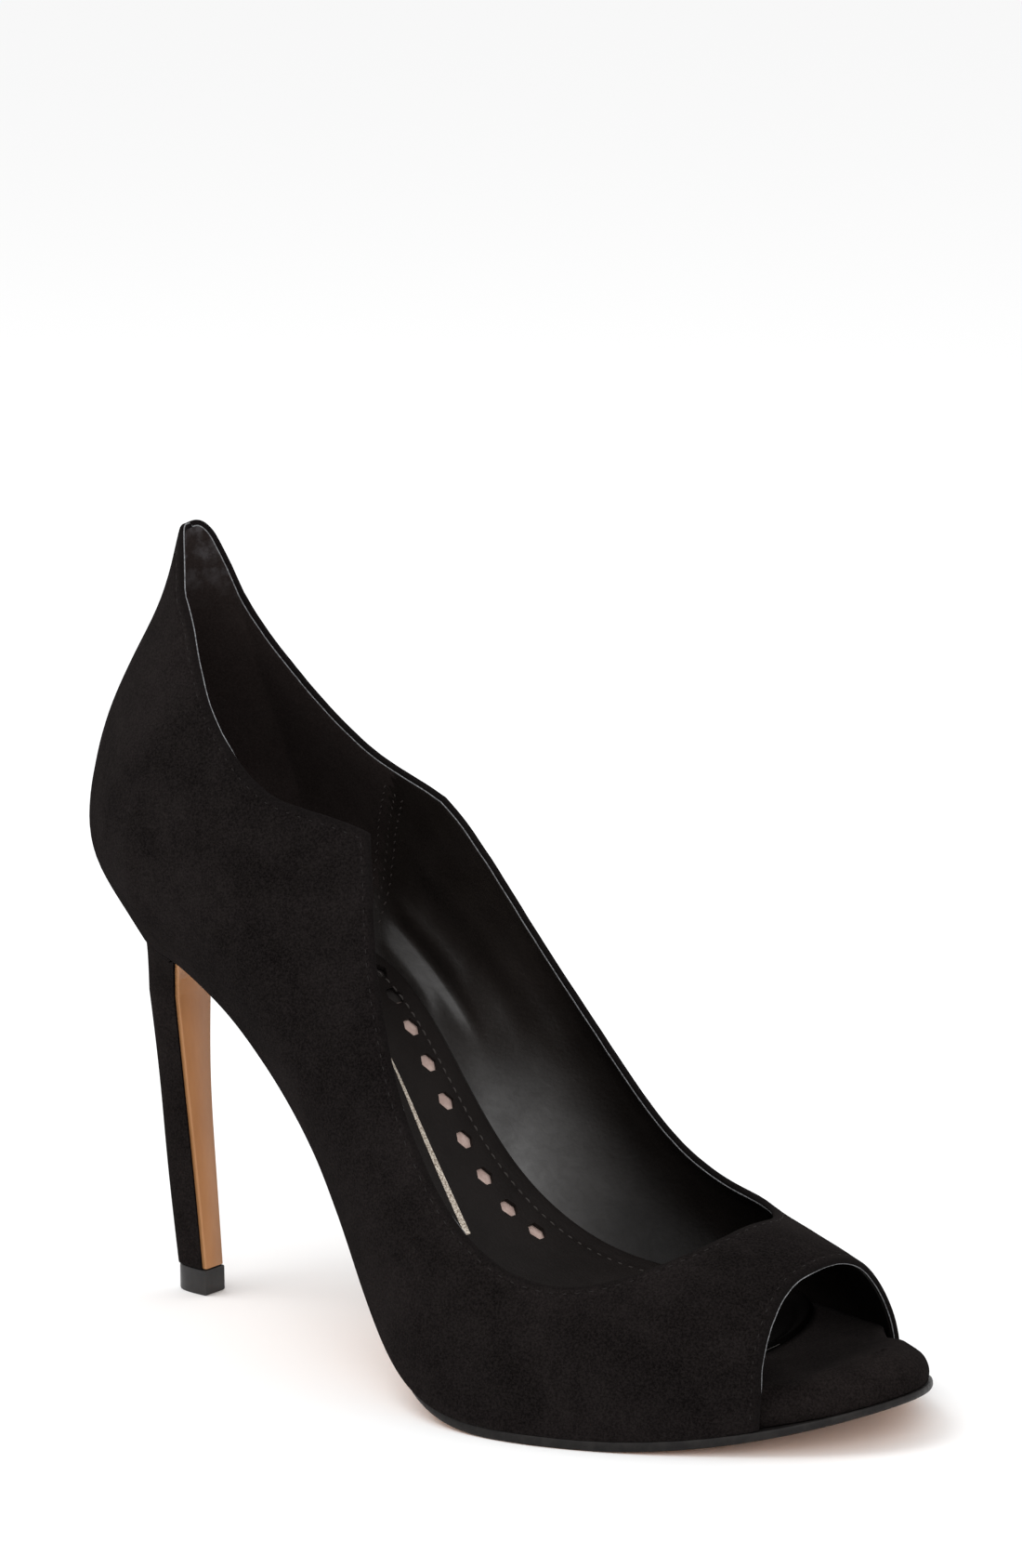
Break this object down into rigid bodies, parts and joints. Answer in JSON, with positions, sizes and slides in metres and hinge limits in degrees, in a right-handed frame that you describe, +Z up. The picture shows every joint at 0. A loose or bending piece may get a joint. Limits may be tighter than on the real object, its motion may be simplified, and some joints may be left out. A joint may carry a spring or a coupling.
{
  "type": "peep toe stiletto pump",
  "caption": "High-heeled peep toe pump with a tall pointed back, scooped sides, a slender heel and a shallow hidden platform, for the right foot.",
  "frame": {"origin": "centre of the heel's top piece, on the floor", "axes": "+X from the heel to the toe, +Y to the inner side of the foot, +Z up"},
  "size_m": [0.2198, 0.0963, 0.1785],
  "materials": {
    "upper": "black suede",
    "outsole": "smooth leather with a gloss black edge and a tan underside",
    "platform": "black suede over the filler",
    "insole_board": "matte rose beige",
    "sock_lining": "smooth black leather, semi-gloss",
    "heel": "black suede over a hard core",
    "heel_breast": "smooth tan leather",
    "top_piece": "hard, glossy black"
  },
  "bodies": {
    "root": {"upper": "upper", "outsole": "outsole", "platform": "platform", "insole_board": "insole_board", "sock_lining": "sock_lining", "heel": "heel", "heel_breast": "heel_breast", "top_piece": "top_piece"}
  },
  "joints": []
}
